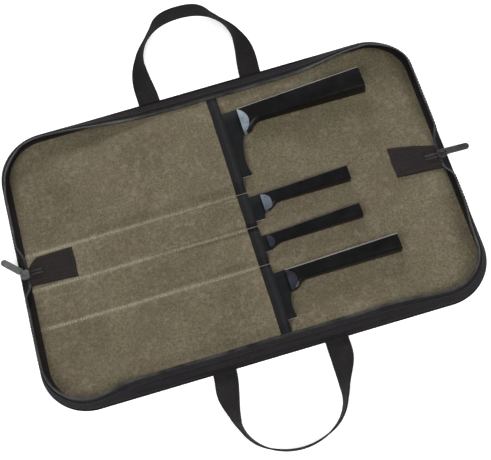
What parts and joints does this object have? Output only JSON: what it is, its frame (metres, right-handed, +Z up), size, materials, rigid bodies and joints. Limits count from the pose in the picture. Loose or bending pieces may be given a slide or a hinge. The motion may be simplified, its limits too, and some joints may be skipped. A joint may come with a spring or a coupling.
{
  "type": "zip knife case with knives",
  "caption": "Zip-round canvas knife case lying open and flat, with webbing carry loops, zip sliders and black-handled kitchen knives in sewn pockets.",
  "frame": {"origin": "on the underside of the spine, at the middle of the open case", "axes": "+X along the spine towards the knives' butts, +Y across it towards the half with the widest knife, +Z up out of the open case"},
  "size_m": [0.5046, 0.5358, 0.0242],
  "materials": {
    "waxed_canvas": "mottled olive-tan waxed canvas",
    "outer_canvas": "olive waxed canvas",
    "stiffener": "grey board, hidden",
    "gusset_nylon": "charcoal woven nylon",
    "binding_tape": "charcoal grosgrain tape",
    "zip_tape": "black herringbone tape",
    "zip_coil": "dark nylon coil",
    "webbing": "black ribbed webbing",
    "gunmetal": "satin gunmetal",
    "coated_steel": "black non-stick coating with a bare ground edge",
    "polished_steel": "polished",
    "black_handle": "glossy black"
  },
  "bodies": {
    "front_half": {"front_cover": "outer_canvas", "front_board": "stiffener", "front_lining": "waxed_canvas", "front_gusset": "gusset_nylon", "front_zip_tape": "zip_tape", "front_zip_teeth": "zip_coil", "front_pocket_sheet": "waxed_canvas", "front_pocket_binding": "binding_tape"},
    "spine": {"spine_cover": "outer_canvas", "spine_board": "stiffener", "spine_lining": "waxed_canvas", "spine_pocket_sheet": "waxed_canvas", "spine_pocket_binding": "binding_tape", "left_end_gusset": "gusset_nylon", "left_zip_tab": "gusset_nylon", "left_zip_end": "zip_coil", "right_end_gusset": "gusset_nylon", "right_zip_tab": "gusset_nylon", "right_zip_end": "zip_coil"},
    "back_half": {"back_cover": "outer_canvas", "back_board": "stiffener", "back_lining": "waxed_canvas", "back_gusset": "gusset_nylon", "back_zip_tape": "zip_tape", "back_zip_teeth": "zip_coil", "back_pocket_sheet": "waxed_canvas", "back_pocket_binding": "binding_tape"},
    "left_slider": {"left_slider": "gunmetal"},
    "left_pull": {"left_pull": "gunmetal"},
    "right_slider": {"right_slider": "gunmetal"},
    "right_pull": {"right_pull": "gunmetal"},
    "front_carry_handle": {"front_carry_handle": "webbing"},
    "back_carry_handle": {"back_carry_handle": "webbing"},
    "cleaver": {"cleaver_blade": "coated_steel", "cleaver_bolster": "polished_steel", "cleaver_handle": "black_handle"},
    "utility_knife": {"utility_knife_blade": "coated_steel", "utility_knife_bolster": "polished_steel", "utility_knife_handle": "black_handle"},
    "paring_knife": {"paring_knife_blade": "coated_steel", "paring_knife_bolster": "polished_steel", "paring_knife_handle": "black_handle"},
    "chef_knife": {"chef_knife_blade": "coated_steel", "chef_knife_bolster": "polished_steel", "chef_knife_handle": "black_handle"}
  },
  "joints": [
    {"name": "spine_front_fold", "type": "hinge", "parent": "front_half", "child": "spine", "pos_m": [0, -0.02, 0.004], "axis": [1, 0, 0], "range_deg": [0, 90]},
    {"name": "spine_back_fold", "type": "hinge", "parent": "spine", "child": "back_half", "pos_m": [0, 0.02, 0.004], "axis": [1, 0, 0], "range_deg": [0, 90]},
    {"name": "cleaver_draw", "type": "slide", "parent": "back_half", "child": "cleaver", "axis": [0.9996, 0.0174, 0.0217], "range_m": [0, 0.048]},
    {"name": "utility_knife_draw", "type": "slide", "parent": "spine", "child": "utility_knife", "axis": [0.9994, 0.0209, 0.0274], "range_m": [0, 0.042]},
    {"name": "paring_knife_draw", "type": "slide", "parent": "front_half", "child": "paring_knife", "axis": [0.9992, 0.0314, 0.026], "range_m": [0, 0.094]},
    {"name": "chef_knife_draw", "type": "slide", "parent": "front_half", "child": "chef_knife", "axis": [0.9997, 0.0174, 0.0187], "range_m": [0, 0.068]},
    {"name": "left_slider_travel", "type": "slide", "parent": "spine", "child": "left_slider", "axis": [1, 0, 0], "range_m": [0, 0.012]},
    {"name": "left_pull_swing", "type": "hinge", "parent": "left_slider", "child": "left_pull", "pos_m": [-0.227, 0, 0.0106], "axis": [0.7071, 0.7071, 0], "range_deg": [0, 120]},
    {"name": "right_slider_travel", "type": "slide", "parent": "spine", "child": "right_slider", "axis": [-1, 0, 0], "range_m": [0, 0.012]},
    {"name": "right_pull_swing", "type": "hinge", "parent": "right_slider", "child": "right_pull", "pos_m": [0.227, 0, 0.0106], "axis": [-0.0349, -0.9994, 0], "range_deg": [0, 120]},
    {"name": "front_handle_swing", "type": "hinge", "parent": "front_half", "child": "front_carry_handle", "pos_m": [0.0033, -0.1589, 0.001], "axis": [-1, 0, 0], "range_deg": [-90, 60]},
    {"name": "back_handle_swing", "type": "hinge", "parent": "back_half", "child": "back_carry_handle", "pos_m": [0.0033, 0.1589, 0.001], "axis": [-1, 0, 0], "range_deg": [-60, 90]}
  ]
}
